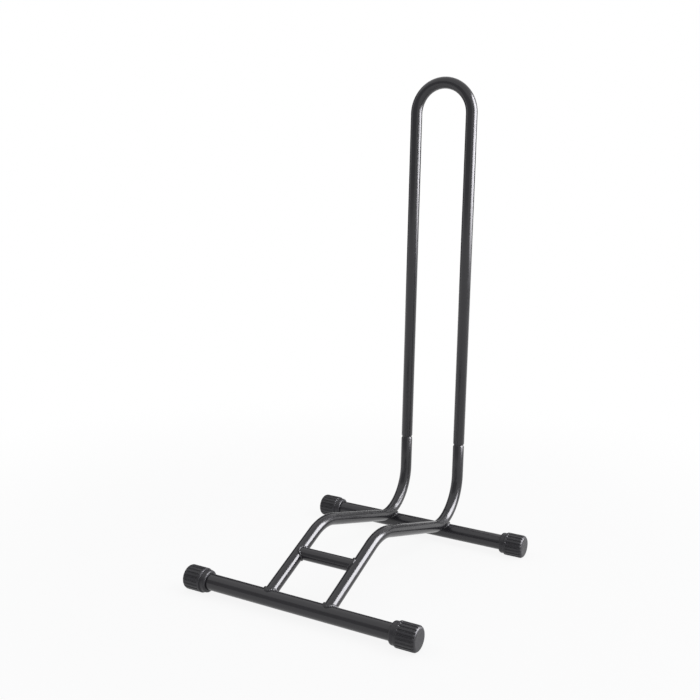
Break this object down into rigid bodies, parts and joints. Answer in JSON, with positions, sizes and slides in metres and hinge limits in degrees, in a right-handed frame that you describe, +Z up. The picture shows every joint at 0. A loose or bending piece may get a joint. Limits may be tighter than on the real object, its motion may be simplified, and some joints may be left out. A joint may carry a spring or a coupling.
{
  "type": "floor bike rack",
  "caption": "Free-standing floor rack of bent steel tube: a low cradle on ribbed end caps holds a bicycle's wheel, and a tall lift-off hoop keeps it upright.",
  "frame": {"origin": "on the floor, under the middle of the rack's footprint", "axes": "+X to the rack's right side, +Y to its rear, where the hoop stands, +Z up"},
  "size_m": [0.345, 0.408, 0.6919],
  "materials": {
    "powder_coat": "satin dark grey powder coat on steel tube",
    "weld_coat": "the same powder coat, over weld beads",
    "plated_steel": "bright zinc plating, seen only when the hoop is lifted",
    "cap_plastic": "black moulded polyethylene with a soft sheen"
  },
  "bodies": {
    "base": {"front_foot_tube": "powder_coat", "rear_foot_tube": "powder_coat", "rung": "powder_coat", "rail_left": "powder_coat", "weld_front_left": "weld_coat", "weld_rung_left": "weld_coat", "weld_rear_left": "weld_coat", "spigot_left": "plated_steel", "cap_front_left": "cap_plastic", "cap_rear_left": "cap_plastic", "rail_right": "powder_coat", "weld_front_right": "weld_coat", "weld_rung_right": "weld_coat", "weld_rear_right": "weld_coat", "spigot_right": "plated_steel", "cap_front_right": "cap_plastic", "cap_rear_right": "cap_plastic"},
    "hoop": {"hoop": "powder_coat"}
  },
  "joints": [
    {"name": "hoop_lift", "type": "slide", "parent": "base", "child": "hoop", "axis": [0, 0, 1], "range_m": [0, 0.05]}
  ]
}
